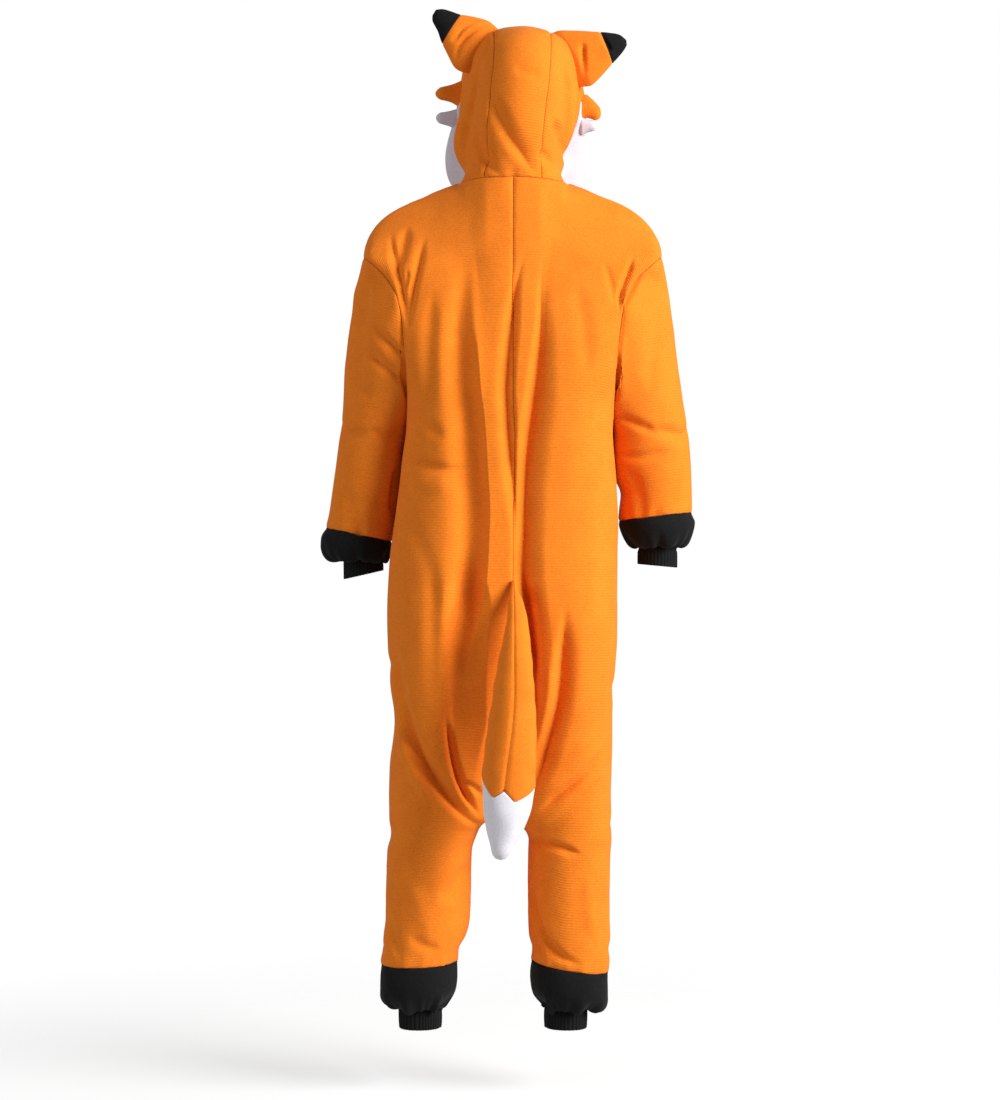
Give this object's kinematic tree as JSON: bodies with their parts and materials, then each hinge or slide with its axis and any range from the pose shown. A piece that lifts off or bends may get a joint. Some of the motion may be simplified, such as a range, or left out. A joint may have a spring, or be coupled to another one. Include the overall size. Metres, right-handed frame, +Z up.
{
  "type": "fox onesie",
  "caption": "Hooded all-in-one fox costume in orange fleece, with ears, cheek tufts, a white-tipped tail and black cuffs, in the hollow form it has when worn.",
  "frame": {"origin": "inside the neck, level with the back of the neck seam, where the wearer's shoulders carry the garment", "axes": "+Z up; the front faces -Y; the wearer's left is +X"},
  "size_m": [0.6468, 0.3711, 1.7227],
  "materials": {
    "orange_fleece": "brushed fleece",
    "black_fleece": "brushed fleece",
    "black_rib": "ribbed knit",
    "white_fleece": "brushed fleece",
    "button_plastic": "satin"
  },
  "bodies": {
    "root": {"back_left": "orange_fleece", "back_right": "orange_fleece", "button_1": "button_plastic", "button_2": "button_plastic", "button_3": "button_plastic", "button_4": "button_plastic", "button_5": "button_plastic", "button_6": "button_plastic", "ear_left": "orange_fleece", "ear_right": "orange_fleece", "ear_tip_left": "black_fleece", "ear_tip_right": "black_fleece", "front_left": "orange_fleece", "front_right": "orange_fleece", "hood_centre": "orange_fleece", "hood_cheek_left": "white_fleece", "hood_cheek_right": "white_fleece", "hood_side_left": "orange_fleece", "hood_side_right": "orange_fleece", "leg_band_left": "black_fleece", "leg_band_right": "black_fleece", "leg_cuff_left": "black_rib", "leg_cuff_right": "black_rib", "placket": "orange_fleece", "sleeve_band_left": "black_fleece", "sleeve_band_right": "black_fleece", "sleeve_cuff_left": "black_rib", "sleeve_cuff_right": "black_rib", "sleeve_left": "orange_fleece", "sleeve_right": "orange_fleece", "tail_left": "orange_fleece", "tail_right": "orange_fleece", "tail_tip": "white_fleece", "tuft_orange_left": "orange_fleece", "tuft_orange_right": "orange_fleece", "tuft_white_left": "white_fleece", "tuft_white_right": "white_fleece"}
  },
  "joints": []
}
